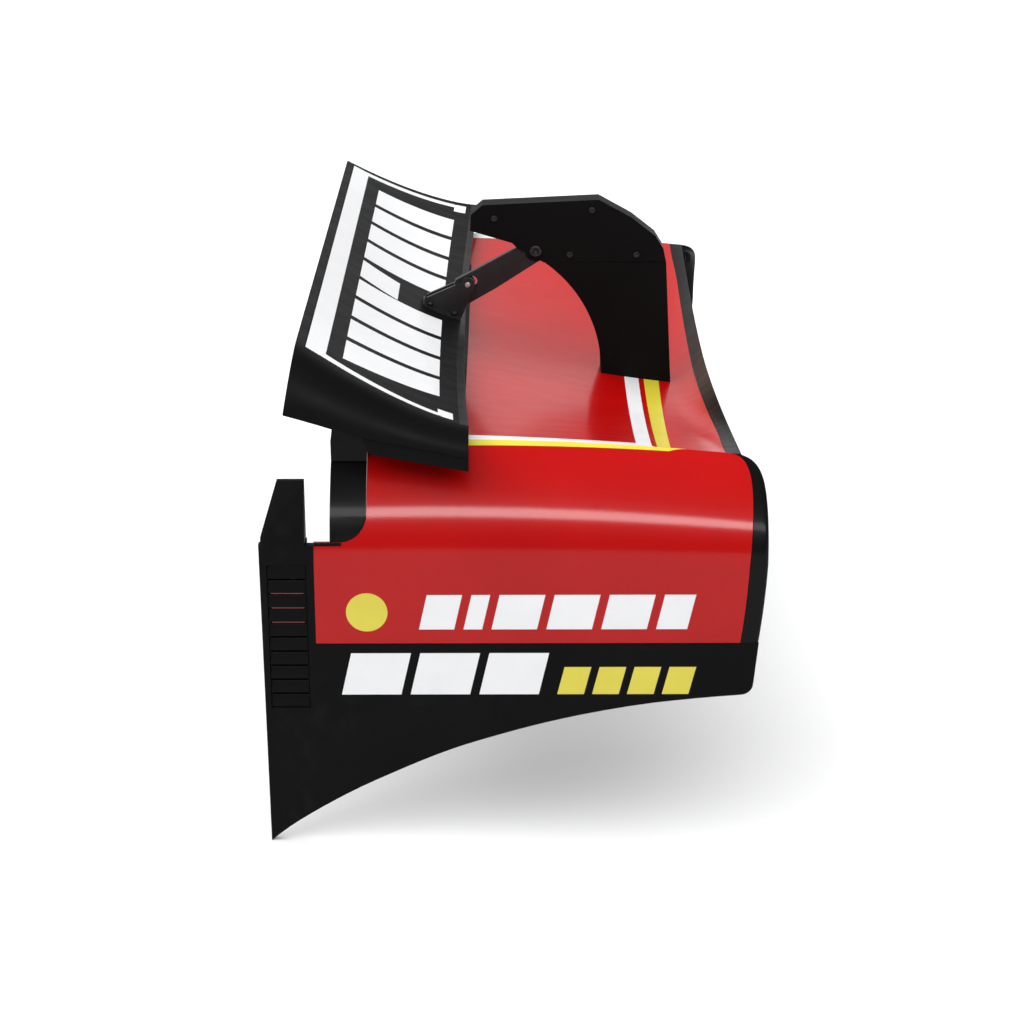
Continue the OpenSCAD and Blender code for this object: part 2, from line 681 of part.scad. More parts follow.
module flap_leading_edge() color(BLACK) place() flap_solid(flap_ws, steps(flap_le_v, 1, 4));
module flap_trailing_edge() color(BLACK) place() flap_solid(flap_ws, [0, flap_te_v]);

module flap_spar() color(CARBON) place()
    flap_solid(steps(-0.97, 0.97, flap_sections), [flap_spar_v, flap_spar_v + flap_spar_w],
        flap_skin + inner_gap / 2, flap_skin + inner_gap / 2);

module flap_ribs() color(CARBON) place() for (y = flap_rib_ys, s = [-1, 1],
        vs = [steps(0.12, flap_spar_v - 0.01, 4), steps(flap_spar_v + flap_spar_w + 0.01, 0.90, 5)]) {
    ys = s > 0 ? [y, y + 2.5] : [-y - 2.5, -y];
    slab([for (yy = ys) [for (v = vs) flap_top(v, yy, flap_skin + 0.8)]],
        [for (yy = ys) [for (v = vs) flap_low(v, yy, flap_skin + 0.8)]]);
}

module flap_tip(left) color(BLACK) place() side(left) slab(
    [for (a = steps(0, 90, 8)) [for (v = steps(0, 1, 20)) cap_point(v, a, 0)]],
    [for (a = steps(0, 90, 8)) [for (v = steps(0, 1, 20)) cap_point(v, a, cap_wall)]]);

module flap_pivot_brackets() color(ALLOY) place() both() {
    y1 = post_top_y - 4;
    difference() {
        plate(y1 - bracket_w, y1) union() {
            polygon(concat([[hinge_x - 9, hinge_z], [hinge_x + 9, hinge_z]],
                [for (x = steps(98, 62, 6)) let (p = flap_low(flap_v(x, y1 - bracket_w), y1 - bracket_w))
                    [x, p.z - 0.5]]));
            translate([hinge_x, hinge_z]) circle(9);
        }
        rod_y(hinge_x, hinge_z, y1 - bracket_w - over, y1 + over, hinge_pin_r);
    }
}

module flap_pivot_pins() color(STEEL) place() both()
    rod_y(hinge_x, hinge_z, post_top_y - 4 - bracket_w, post_top_y + post_top_w + 2, hinge_pin_r);

// Upper face of the flap near the centre plane, raised by d
function flap_line(x0, x1, d) = [for (x = steps(x0, x1, 8)) [x, flap_z(flap_v(x, 16), 16) + d]];

module flap_horn() color(ALLOY) place() difference() {
    union() {
        for (s = [0, 1]) mirror([0, s, 0]) plate(horn_lug[0], horn_lug[1]) {
            polygon(concat(flap_line(horn_x0, horn_x1, gap),
                [[horn_x + 8, horn_z - 3], [horn_x, horn_z + 8], [horn_x - 8, horn_z + 2],
                    [horn_x0 + 4, flap_line(horn_x0, horn_x1, 8)[0].y]]));
            translate([horn_x, horn_z]) circle(8);
        }
        plate(-16, 16) polygon(concat(flap_line(horn_x0, horn_x1, gap),
            reversed(flap_line(horn_x0, horn_x1, horn_base + gap))));
    }
    rod_y(horn_x, horn_z, -10, 10, horn_pin_r);
    for (x = horn_screw_xs, s = [-1, 1]) rod_z(x, s * horn_screw_y, 390, 440, 2.1);
}

module horn_insert() color(ALLOY) place() difference() {
    xs = steps(insert_x0, insert_x1, 8);
    slab([for (y = [-17, 17]) [for (x = xs) flap_top(flap_v(x, y), y, flap_skin + inner_gap)]],
        [for (y = [-17, 17]) [for (x = xs) flap_low(flap_v(x, y), y, flap_skin + 2 * inner_gap)]]);
    for (x = horn_screw_xs, s = [-1, 1]) rod_z(x, s * horn_screw_y, 380, 440, 2.05);
}

module horn_screws() color(STEEL) place() for (x = horn_screw_xs, s = [-1, 1]) {
    seat = flap_z(flap_v(x, 16), 16) + horn_base + gap + 2;
    rod_z(x, s * horn_screw_y, seat - 14, seat, 2);
    rod_z(x, s * horn_screw_y, seat, seat + 2.5, 3.4);
}

module horn_pin() color(STEEL) place() rod_y(horn_x, horn_z, -9.8, 9.8, horn_pin_r);
module horn_roller() color(BRONZE) place() difference() {
    rod_y(horn_x, horn_z, -3.8, 3.8, roller_r);
    rod_y(horn_x, horn_z, -5, 5, horn_pin_r + 0.05);
}

mainplane_upper_skin();
mainplane_lower_skin();
mainplane_leading_edge();
mainplane_trailing_edge();
mainplane_front_spar();
mainplane_rear_spar();
mainplane_ribs();
endplate(false);  // endplate_right
endplate(true);  // endplate_left
front_band(false);  // front_band_right
front_band(true);  // front_band_left
tip_shell(false);  // tip_shell_right
tip_shell(true);  // tip_shell_left
tip_post(false);  // tip_post_right
tip_post(true);  // tip_post_left
pivot_bushes();
light_housing(false);  // light_housing_right
light_housing(true);  // light_housing_left
light_lens(false);  // light_lens_right
light_lens(true);  // light_lens_left
light_board(false);  // light_board_right
light_board(true);  // light_board_left
hardpoint_block();
pylon();
pod_cover(false);  // pod_cover_right
pod_cover(true);  // pod_cover_left
actuator_cylinder();
cylinder_gland();
hydraulic_fitting();
hydraulic_pipe();
rocker_pin();
pylon_bolts();
pod_screws();
light_screws();
post_bolts();
flap_upper_skin();
flap_lower_skin();
flap_leading_edge();
flap_trailing_edge();
flap_spar();
flap_ribs();
flap_tip(false);  // flap_tip_right
flap_tip(true);  // flap_tip_left
flap_pivot_brackets();
flap_pivot_pins();
flap_horn();
horn_insert();
horn_pin();
horn_roller();
horn_screws();
rocker();
rocker_bushes();
clevis();
clevis_pin();
piston_rod();
piston();
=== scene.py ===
"""Racing rear wing: detailed shells, livery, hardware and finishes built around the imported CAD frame.

Shapes are worked out in millimetres from the lower rear tip of an endplate, with X forward, Z up and Y
measured from the centre plane. put() turns such a point into the row frame in metres.
"""

import math

import bmesh
import bpy
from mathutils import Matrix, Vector


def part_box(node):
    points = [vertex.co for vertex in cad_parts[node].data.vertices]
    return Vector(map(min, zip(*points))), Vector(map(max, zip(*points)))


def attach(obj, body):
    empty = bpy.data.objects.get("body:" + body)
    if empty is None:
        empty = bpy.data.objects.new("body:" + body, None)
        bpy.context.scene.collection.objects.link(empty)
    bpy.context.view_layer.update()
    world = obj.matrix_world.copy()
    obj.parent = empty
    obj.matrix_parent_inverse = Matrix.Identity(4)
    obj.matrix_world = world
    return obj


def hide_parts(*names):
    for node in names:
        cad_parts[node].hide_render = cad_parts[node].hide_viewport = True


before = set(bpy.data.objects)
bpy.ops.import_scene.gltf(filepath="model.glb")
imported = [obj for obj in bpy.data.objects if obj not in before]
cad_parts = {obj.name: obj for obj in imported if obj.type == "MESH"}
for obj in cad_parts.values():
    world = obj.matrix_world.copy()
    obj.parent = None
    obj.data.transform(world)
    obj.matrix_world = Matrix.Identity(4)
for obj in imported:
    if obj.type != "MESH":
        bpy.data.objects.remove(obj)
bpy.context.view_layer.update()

MM = 0.001
MOUNT_X, MOUNT_Z = 375, 300
SIDES = (("right", -1), ("left", 1))

# ---- Main dimensions, the same as the CAD model's ----

HALF_SPAN = round(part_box("endplate_left")[1].y / MM)
PLATE_T = 8
NOSE_X, TAIL_X, TIP_TAIL_X = 460, 178, 101
DIP_X, DIP_Z = 421, 331
CREST_TOP_X, CREST_TOP_Z, CREST_CURVE = 160, 399, 0.00017
ROLL_W, ROLL_Z, ROLL_POWER = 70, 294, 1.6
CREST_Y = HALF_SPAN - ROLL_W
MAIN_DEPTH, MAIN_SKIN = 26, 1.6
NOSE_U, CLOSING_U = 12 / (NOSE_X - TAIL_X), 0.95
RED_X, RED_Z = 50, 214
NOTCH_FLOOR_Z, NOTCH_R = 318, 26
BAND_W = 18
FLAP_TE, FLAP_LE = (33, 495), (189, 403)
FLAP_DEPTH, FLAP_SKIN, CAP_WALL, CAP_LEAN, FLAP_POWER = 16, 1.4, 4, 10, 1.35
FLAP_TE_V, FLAP_LE_V = 0.05, 0.95
LIGHT_X, LIGHT_Z, LIGHT_DEPTH, FLANGE_W = (5, 43), (146, 296), 14, 7
GAP = 0.3


# ---- Shape functions ----


def put(p):
    return ((p[0] - MOUNT_X) * MM, p[1] * MM, (p[2] - MOUNT_Z) * MM)


def steps(a, b, n):
    return [a + (b - a) * i / n for i in range(n)] + [b]


def smooth(t):
    c = min(1.0, max(0.0, t))
    return c * c * (3 - 2 * c)


def section(u):
    """Depth of a wing section at fraction u behind its nose, for a greatest depth of 1."""
    return 10 * (0.2969 * math.sqrt(u) - 0.126 * u - 0.3516 * u**2 + 0.2843 * u**3 - 0.1015 * u**4)


def centre_z(x):
    d = DIP_X - x
    return DIP_Z + 0.11 * d + (0.00037 if d > 0 else 0.0186) * d * d


def crest_z(x):
    return CREST_TOP_Z - CREST_CURVE * (max(x, TIP_TAIL_X) - CREST_TOP_X) ** 2


def main_nose(y):
    return NOSE_X + 3 * (abs(y) / CREST_Y) ** 2


def main_tail(y):
    return TAIL_X - (TAIL_X - TIP_TAIL_X) * smooth((abs(y) - CREST_Y + 125) / 125)


def main_z(x, y):
    return centre_z(x) + (crest_z(x) - centre_z(x)) * min(1.0, abs(y) / CREST_Y) ** 1.6


def main_t(u, y):
    thin = 1 - 0.55 * smooth((abs(y) - CREST_Y + 95) / 95)
    return 1.2 + 2.6 * u + MAIN_DEPTH * section(u) * thin


def main_x(u, y):
    return main_nose(y) - u * (main_nose(y) - main_tail(y))


def main_top(u, y, down=0.0):
    x = main_x(u, y)
    return (x, y, main_z(x, y) - down)


def main_low(u, y, up=0.0):
    x = main_x(u, y)
    return (x, y, main_z(x, y) - main_t(u, y) + up)


def plate_front(z):
    return 486 - 0.00058 * (z - 325) ** 2


def roll_front(a):
    low = plate_front(ROLL_Z)
    return low - (low - main_nose(CREST_Y)) * (a / 90) ** 5


def roll_point(x, a, down=0.0):
    """Point of the rolled corner at angle a: 0 at the endplate, 90 at the crest."""
    c, s = math.cos(math.radians(a)), math.sin(math.radians(a))
    y = CREST_Y + (ROLL_W - down) * max(0.0, c) ** ROLL_POWER
    return (x, y, ROLL_Z + (crest_z(x) - ROLL_Z - down) * s)


def flap_nose(y):
    return FLAP_LE[0] + 10 * (abs(y) / 450) ** 2


def flap_x(v, y):
    return FLAP_TE[0] + v * (flap_nose(y) - FLAP_TE[0])


def flap_z(v, y):
    fall = FLAP_TE[1] - FLAP_LE[1] - 20 * (abs(y) / 420) ** 2
    return FLAP_TE[1] - fall * (1 - (1 - v) ** FLAP_POWER)


def flap_t(v):
    return 1.2 + 2 * (1 - v) + FLAP_DEPTH * section(1 - v)


def flap_top(v, y, down=0.0):
    return (flap_x(v, y), y, flap_z(v, y) - down)


def flap_low(v, y, up=0.0):
    return (flap_x(v, y), y, flap_z(v, y) - flap_t(v) + up)


def crease_y(v):
    return 402 + 48 * v


def skirt_y(v):
    return 455 + 23 * v


def skirt_z(v):
    k = smooth((v - 0.38) / 0.06)
    return (438 - 50 * v) * (1 - k) + (402 - 23 * (v - 0.42)) * k


def skirt_line(v):
    """Lower edge of the skirt's outer face; the lip under it stands back."""
    return 438 - 50 * v if v < 0.38 else 419 - 26 * (v - 0.38)


def cap_point(v, a, down, low):
    """Point of a rolled flap tip at angle a: 0 at the crease, 90 at its lower edge, whose height is low."""
    c, s = math.cos(math.radians(a)), math.sin(math.radians(a))
    y0 = crease_y(v) + GAP
    z0 = flap_z(v, y0) - down
    x = flap_x(v, y0) - CAP_LEAN * (1 - v) ** 4 * (1 - c)
    return (x, y0 + (skirt_y(v) - y0 - down) * s, low + (z0 - low) * c)


# ---- Mesh helpers ----


def mirrored(points, sign):
    return [(p[0], p[1] * sign, p[2]) for p in points]


def slab(top, bottom):
    """Closed shell between two grids of points. A cell with a missing corner (None) is left open."""
    verts, faces, index = [], [], {}
    for layer, grid in enumerate((top, bottom)):
        for i, row in enumerate(grid):
            for j, p in enumerate(row):
                if p is not None:
                    index[layer, i, j] = len(verts)
                    verts.append(p)
    used = {}
    for i in range(len(top) - 1):
        for j in range(len(top[0]) - 1):
            ring = [(i, j), (i + 1, j), (i + 1, j + 1), (i, j + 1)]
            if any((0, *c) not in index for c in ring):
                continue
            faces.append([index[(0, *c)] for c in ring])
            faces.append([index[(1, *c)] for c in reversed(ring)])
            for k in range(4):
                a, b = ring[k], ring[(k + 1) % 4]
                used[frozenset((a, b))] = None if frozenset((a, b)) in used else (a, b)
    for edge in used.values():
        if edge:
            a, b = edge
            faces.append([index[(0, *b)], index[(0, *a)], index[(1, *a)], index[(1, *b)]])
    return verts, faces


def join(parts):
    verts, faces = [], []
    for v, f in parts:
        faces += [[i + len(verts) for i in face] for face in f]
        verts += v
    return verts, faces


def lathe(rings, turn, segments=24):
    """Closed turned shape. rings are (radius, height, hexagonal) and turn(x, y, h) places a point."""
    verts, faces = [], []
    for radius, height, is_hex in rings:
        for k in range(segments):
            a = 2 * math.pi * k / segments
            r = radius
            if is_hex:
                r = radius * math.cos(math.pi / 6) / math.cos((a % (math.pi / 3)) - math.pi / 6)
            verts.append(turn(r * math.cos(a), r * math.sin(a), height))
    for i in range(len(rings) - 1):
        for k in range(segments):
            n = (k + 1) % segments
            a, b = i * segments, (i + 1) * segments
            faces.append([a + k, a + n, b + n, b + k])
    faces.append(list(range(segments))[::-1])
    last = (len(rings) - 1) * segments
    faces.append(list(range(last, last + segments)))
    return verts, faces


def round_edges(obj, width, segments=2, angle=35):
    if width > 0:
        bevel = obj.modifiers.new("round_edges", "BEVEL")
        bevel.width = width * MM
        bevel.segments = segments
        bevel.limit_method = "ANGLE"
        bevel.angle_limit = math.radians(angle)
        bevel.harden_normals = False
    normals = obj.modifiers.new("even_normals", "WEIGHTED_NORMAL")
    normals.keep_sharp = False
    normals.weight = 60


def piece(name, shape, look, body="root", nodes=(), bevel=0.2, segments=2):
    """New visible piece from (points in mm, faces), riding on a body and standing for CAD nodes."""
    verts, faces = shape
    mesh = bpy.data.meshes.new(name)
    mesh.from_pydata([put(v) for v in verts], [], faces)
    bm = bmesh.new()
    bm.from_mesh(mesh)
    bmesh.ops.recalc_face_normals(bm, faces=bm.faces)
    for face in bm.faces:
        face.smooth = True
    bm.to_mesh(mesh)
    bm.free()
    mesh.materials.append(look["material"])
    obj = bpy.data.objects.new(name, mesh)
    bpy.context.scene.collection.objects.link(obj)
    round_edges(obj, bevel, segments)
    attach(obj, body)
    if nodes:
        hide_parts(*nodes)
    return obj


def dress(node, look, bevel=0.4, segments=2):
    """Finish for a CAD node that keeps its shape: material, and softly broken edges."""
    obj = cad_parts[node]
    for slot in obj.material_slots:
        slot.material = look["material"]
    for polygon in obj.data.polygons:
        polygon.use_smooth = True
    weld = obj.modifiers.new("weld", "WELD")
    weld.merge_threshold = 0.01 * MM
    flat = obj.modifiers.new("join_flat_faces", "DECIMATE")
    flat.decimate_type = "DISSOLVE"
    flat.angle_limit = math.radians(0.3)
    round_edges(obj, bevel, segments, angle=30)


# ---- Materials ----


class Recipe:
    """A material's node tree, with the few kinds of node that the finishes below are made of."""

    def __init__(self, name):
        self.material = bpy.data.materials.new(name)
        self.material.use_nodes = True
        self.tree = self.material.node_tree
        self.shader = self.tree.nodes["Principled BSDF"]
        self.place = self.new("ShaderNodeTexCoord").outputs["Object"]

    def new(self, kind, **settings):
        node = self.tree.nodes.new(kind)
        for key, value in settings.items():
            setattr(node, key, value)
        return node

    def link(self, a, b):
        self.tree.links.new(a, b)

    def stretched(self, scale, rotation=(0, 0, 0)):
        node = self.new("ShaderNodeMapping")
        node.inputs["Scale"].default_value = scale
        node.inputs["Rotation"].default_value = rotation
        self.link(self.place, node.inputs["Vector"])
        return node.outputs[0]

    def noise(self, scale, detail=3.0, where=None):
        node = self.new("ShaderNodeTexNoise")
        node.inputs["Scale"].default_value = scale
        node.inputs["Detail"].default_value = detail
        self.link(where or self.place, node.inputs["Vector"])
        return node.outputs["Fac"]

    def spread(self, value, lo, hi, out_lo=0.0, out_hi=1.0):
        node = self.new("ShaderNodeMapRange")
        for key, number in (("From Min", lo), ("From Max", hi), ("To Min", out_lo), ("To Max", out_hi)):
            node.inputs[key].default_value = number
        self.link(value, node.inputs["Value"])
        return node.outputs["Result"]

    def math(self, kind, a, b=None):
        node = self.new("ShaderNodeMath", operation=kind)
        for socket, value in zip(node.inputs, (a, b)):
            if isinstance(value, (int, float)):
                socket.default_value = value
            elif value is not None:
                self.link(value, socket)
        return node.outputs[0]

    def blend(self, share, a, b):
        node = self.new("ShaderNodeMix", data_type="RGBA")
        self.link(share, node.inputs["Factor"])
        sockets = [s for s in node.inputs if s.type == "RGBA"]
        for socket, value in zip(sockets, (a, b)):
            if isinstance(value, tuple):
                socket.default_value = (*value, 1.0)
            else:
                self.link(value, socket)
        return [s for s in node.outputs if s.type == "RGBA"][0]

    def edges(self, lo=0.52, hi=0.60):
        """1 on convex edges, 0 on open surfaces."""
        return self.spread(self.new("ShaderNodeNewGeometry").outputs["Pointiness"], lo, hi)

    def bump(self, height, strength, distance, under=None):
        node = self.new("ShaderNodeBump")
        node.inputs["Strength"].default_value = strength
        node.inputs["Distance"].default_value = distance
        self.link(height, node.inputs["Height"])
        if under:
            self.link(under, node.inputs["Normal"])
        return node.outputs["Normal"]

    def finish(self, color, roughness, normal, **constants):
        self.link(color, self.shader.inputs["Base Color"])
        self.link(roughness, self.shader.inputs["Roughness"])
        self.link(normal, self.shader.inputs["Normal"])
        for key, value in constants.items():
            self.shader.inputs[key.replace("_", " ")].default_value = value


def painted(name, dark, light, worn, rub_share, rough, specular, coat, coat_rough, peel, slot):
    """Sprayed and lacquered composite: cloudy colour, orange peel, fine dust and rubbed edges."""
    r = Recipe(name)
    cloud = r.noise(9.0, 4.0)
    speck = r.noise(420.0, 2.0)
    color = r.blend(r.spread(cloud, 0.35, 0.65), dark, light)
    color = r.blend(r.spread(speck, 0.66, 0.80, 0.0, 0.10), color, worn)
    rub = r.math("MULTIPLY", r.edges(0.56, 0.66), r.spread(r.noise(60.0, 5.0), 0.45, 0.70, 0.0, rub_share))
    color = r.blend(rub, color, worn)
    wipe = r.noise(22.0, 5.0, r.stretched((1.0, 3.0, 1.0), (0, 0, 0.5)))
    roughness = r.spread(wipe, 0.3, 0.7, rough[0], rough[1])
    fine = r.bump(r.noise(650.0, 2.0), 0.10 * peel, 0.0004)
    normal = r.bump(r.noise(70.0, 2.0), 0.05 * peel, 0.0010, fine)
    r.finish(color, roughness, normal, Specular_IOR_Level=specular, Coat_Weight=coat,
             Coat_Roughness=coat_rough)
    return {"material": r.material, "slot": slot}


def woven(name, slot):
    """Clear-coated twill carbon: 2 mm tows that step by one at each row."""
    r = Recipe(name)
    tow = 1 / 0.0022
    split = r.new("ShaderNodeSeparateXYZ")
    r.link(r.stretched((tow, tow, tow), (0, 0, math.radians(45))), split.inputs[0])
    a, b = split.outputs["X"], split.outputs["Y"]
    row = r.math("FLOOR", b)
    phase = r.math("FRACT", r.math("DIVIDE", r.math("ADD", r.math("FLOOR", a), row), 4.0))
    over = r.math("LESS_THAN", phase, 0.49)
    across = r.math("SINE", r.math("MULTIPLY", a, 2 * math.pi))
    along = r.math("SINE", r.math("MULTIPLY", b, 2 * math.pi))
    color = r.blend(over, (0.012, 0.012, 0.013), (0.035, 0.035, 0.038))
    color = r.blend(r.spread(r.noise(14.0, 4.0), 0.35, 0.75, 0.0, 0.3), color, (0.020, 0.021, 0.024))
    roughness = r.spread(over, 0.0, 1.0, 0.30, 0.46)
    rise = r.math("ADD", r.math("MULTIPLY", across, over), along)
    r.finish(color, roughness, r.bump(rise, 0.25, 0.0003), Specular_IOR_Level=0.15, Coat_Weight=0.10,
             Coat_Roughness=0.20)
    return {"material": r.material, "slot": slot}


def metal(name, dark, light, rough, streak, slot, metallic=1.0):
    """Machined or drawn metal: fine streaks along one axis, small stains and bright edges."""
    r = Recipe(name)
    lines = r.noise(260.0, 4.0, r.stretched(streak))
    stain = r.noise(35.0, 5.0)
    color = r.blend(r.spread(stain, 0.3, 0.7), dark, light)
    bright = tuple(min(1.0, 1.25 * c + 0.05) for c in light)
    color = r.blend(r.math("MULTIPLY", r.edges(0.53, 0.65), 0.5), color, bright)
    roughness = r.spread(lines, 0.3, 0.7, rough[0], rough[1])
    r.finish(color, roughness, r.bump(lines, 0.12, 0.0002), Metallic=metallic)
    return {"material": r.material, "slot": slot}


def vinyl(name, color, shade, slot):
    """Cut film: very fine grain, a faint soft cloud and a satin surface."""
    r = Recipe(name)
    tone = r.blend(r.spread(r.noise(30.0, 4.0), 0.3, 0.8), color, shade)
    roughness = r.spread(r.noise(180.0, 3.0), 0.3, 0.7, 0.30, 0.42)
    r.finish(tone, roughness, r.bump(r.noise(900.0, 2.0), 0.06, 0.0002), Coat_Weight=0.15)
    return {"material": r.material, "slot": slot}


def ribbed_lens(name, slot):
    """Moulded red lens with fine vertical flutes, with a painted highlight on each flute's crest and painted
    shade in its groove.
    """
    r = Recipe(name)
    split = r.new("ShaderNodeSeparateXYZ")
    r.link(r.place, split.inputs[0])
    flutes = r.math("SINE", r.math("MULTIPLY", split.outputs["X"], 2 * math.pi / 0.002))
    # Painted highlight and shade: the colour follows the flute bump, lighter on the crests and darker in the
    # grooves.
    color = r.blend(r.spread(flutes, -1.0, 1.0), (0.26, 0.002, 0.003), (0.40, 0.005, 0.006))
    roughness = r.spread(r.noise(120.0), 0.3, 0.7, 0.08, 0.18)
    r.finish(color, roughness, r.bump(flutes, 0.4, 0.0003), Coat_Weight=0.4)
    return {"material": r.material, "slot": slot}


def circuit(name, slot):
    """Solder-masked board with copper pads in rows."""
    r = Recipe(name)
    split = r.new("ShaderNodeSeparateXYZ")
    r.link(r.stretched((250.0, 250.0, 250.0)), split.inputs[0])
    pads = r.math(
        "MULTIPLY",
        r.math("GREATER_THAN", r.math("SINE", split.outputs["X"]), 0.8),
        r.math("GREATER_THAN", r.math("SINE", split.outputs["Z"]), 0.3),
    )
    color = r.blend(pads, (0.01, 0.10, 0.03), (0.65, 0.42, 0.12))
    roughness = r.spread(r.noise(90.0), 0.3, 0.7, 0.25, 0.4)
    r.finish(color, roughness, r.bump(pads, 0.3, 0.0002))
    return {"material": r.material, "slot": slot}


RED = painted("red_lacquer", (0.350, 0.0008, 0.0010), (0.380, 0.0016, 0.0016), (0.50, 0.05, 0.045), 0.3,
              (0.34, 0.40), 0.05, 0.38, 0.13, 1.0, "red_paint")
DARK, DARK_CLOUD, DARK_WORN = (0.0036, 0.0036, 0.0038), (0.0044, 0.0044, 0.0046), (0.03, 0.03, 0.032)
BLACK = painted("satin_black", DARK, DARK_CLOUD, DARK_WORN, 0.15,
                (0.42, 0.50), 0.040, 0.0, 0.30, 1.4, "black_lacquer")
GLOSS_BLACK = painted("gloss_black", DARK, DARK_CLOUD, DARK_WORN, 0.15,
                      (0.28, 0.36), 0.045, 0.07, 0.12, 1.0, "black_lacquer")
CARBON = woven("twill_carbon", "bare_carbon")
ANODISED = metal("black_anodised", (0.012, 0.012, 0.013), (0.022, 0.022, 0.024), (0.32, 0.46),
                 (1, 6, 1), "black_anodised", metallic=0.6)
ALLOY = metal("machined_alloy", (0.40, 0.41, 0.43), (0.52, 0.53, 0.55), (0.28, 0.44), (1, 8, 1), "alloy")
STEEL = metal("brushed_steel", (0.48, 0.49, 0.51), (0.63, 0.64, 0.66), (0.20, 0.36), (8, 1, 1), "steel")
BRONZE = metal("sintered_bronze", (0.52, 0.33, 0.14), (0.68, 0.46, 0.22), (0.30, 0.46), (3, 3, 3), "bronze")
WHITE = vinyl("white_film", (0.72, 0.72, 0.73), (0.67, 0.68, 0.69), "red_paint")
YELLOW = vinyl("yellow_film", (0.60, 0.52, 0.036), (0.56, 0.48, 0.032), "red_paint")
LENS = ribbed_lens("red_lens", "red_lens")
BOARD = circuit("solder_mask", "circuit_board")


# ---- Mainplane ----

SPAN_YS = steps(-CREST_Y, CREST_Y, 110)


def main_shell(us, a, b, from_top):
    """Slab of the mainplane over chord fractions us, from depth a to depth b of one of its faces."""
    face = main_top if from_top else main_low
    return slab([[face(u, y, a) for u in us] for y in SPAN_YS],
                [[face(u, y, b) for u in us] for y in SPAN_YS])


def main_block(us):
    return slab([[main_top(u, y) for u in us] for y in SPAN_YS],
                [[main_low(u, y) for u in us] for y in SPAN_YS])


SKIN_US = [NOSE_U + (CLOSING_U - NOSE_U) * t**1.5 for t in steps(0, 1, 44)]
NOSE_US = [NOSE_U * t**1.8 for t in steps(0, 1, 10)]

piece("red_upper_shell", main_shell(SKIN_US, 0, MAIN_SKIN, True), RED, nodes=["mainplane_upper_skin"])
piece("carbon_lower_shell", main_shell(SKIN_US, MAIN_SKIN, 0, False), CARBON,
      nodes=["mainplane_lower_skin"])
piece("nose_moulding", main_block(NOSE_US), GLOSS_BLACK, nodes=["mainplane_leading_edge"])
piece("tail_moulding", main_block(steps(CLOSING_U, 1, 3)), BLACK, nodes=["mainplane_trailing_edge"],
      bevel=0.5)
for node in ("mainplane_front_spar", "mainplane_rear_spar", "mainplane_ribs"):
    dress(node, CARBON, bevel=0)

# ---- Rolled corners, front bands and endplates ----

NOTCH_A = math.degrees(math.asin((NOTCH_FLOOR_Z - ROLL_Z) / (crest_z(TIP_TAIL_X) - ROLL_Z)))
NOTCH_COLUMNS = 6
SHELL_COLUMNS = 44
SKIN_T = 1.0


def notch_edge(z):
    """Rear edge of the corner above the notch's floor: a fillet, then upright."""
    t = min(1.0, (z - NOTCH_FLOOR_Z) / NOTCH_R)
    return TIP_TAIL_X - NOTCH_R * (1 - math.sqrt(max(0.0, 1 - (1 - t) ** 2)))


def shell_rows():
    """Rows of a corner from the crest down: (angle or None, height or None)."""
    rows = [(a, None) for a in steps(90, 34, 20)]
    rows += [(NOTCH_A + (34 - NOTCH_A) * t**1.6, None) for t in steps(1, 0, 14)[1:]]
    rows += [(a, None) for a in steps(NOTCH_A, 0, 8)[1:]]
    return rows + [(None, z) for z in steps(ROLL_Z, RED_Z + GAP, 8)[1:]]


def corner_xs(a, z):
    """X of each column on one row; columns over the notch are missing above its floor."""
    front = roll_front(a) - BAND_W + 6 * math.sin(math.radians(a)) if z is None else plate_front(z) - BAND_W
    floor_x = TIP_TAIL_X - NOTCH_R
    if z is None and a > NOTCH_A + 1e-6:
        rear = notch_edge(roll_point(TIP_TAIL_X, a)[2])
        return [None] * NOTCH_COLUMNS + steps(rear, front, SHELL_COLUMNS)
    return steps(RED_X + GAP, floor_x, NOTCH_COLUMNS)[:-1] + steps(floor_x, front, SHELL_COLUMNS)


def corner_grid(down):
    grid = []
    for a, z in shell_rows():
        xs = corner_xs(a, z)
        if z is None:
            grid.append([None if x is None else roll_point(x, a, down) for x in xs])
        else:
            grid.append([(x, HALF_SPAN - down, z) for x in xs])
    return grid


def band_grid(side_of_middle):
    """One face of the front band, whose front edge is a full round."""
    middle, grid = PLATE_T / 2, []
    for a, z in shell_rows():
        front = roll_front(a) if z is None else plate_front(z)
        width = BAND_W - (6 * math.sin(math.radians(a)) if z is None else 0) - GAP
        row = []
        for t in steps(0, 1, 6)[:-1] + [1 - 0.34 * (1 - s) ** 2 for s in steps(0.29, 1, 7)]:
            d = (1 - t) * width
            half = middle * math.sqrt(1 - (1 - min(1.0, d / 6)) ** 2) + 0.02
            down = middle - side_of_middle * half
            x = front - d
            row.append(roll_point(x, a, down) if z is None else (x, HALF_SPAN - down, z))
        grid.append(row)
    return grid


for side, sign in SIDES:
    for name, look, a, b, nodes in (
        ("corner_skin", RED, 0.0, SKIN_T, ["tip_shell_" + side]),
        ("corner_core", BLACK, SKIN_T + 0.02, PLATE_T, []),
    ):
        verts, faces = slab(corner_grid(a), corner_grid(b))
        piece(f"{name}_{side}", (mirrored(verts, sign), faces), look, nodes=nodes, bevel=0.15)
    verts, faces = slab(band_grid(1), band_grid(-1))
    piece("nose_band_" + side, (mirrored(verts, sign), faces), GLOSS_BLACK,
          nodes=["front_band_" + side], bevel=0.15)
    dress("endplate_" + side, BLACK, bevel=1.0, segments=3)
    dress("tip_post_" + side, GLOSS_BLACK, bevel=0.8, segments=3)

# ---- Rain lights: louvred housings ----

SLATS, SLAT_PITCH, SLAT_H = 10, 15, 12.8


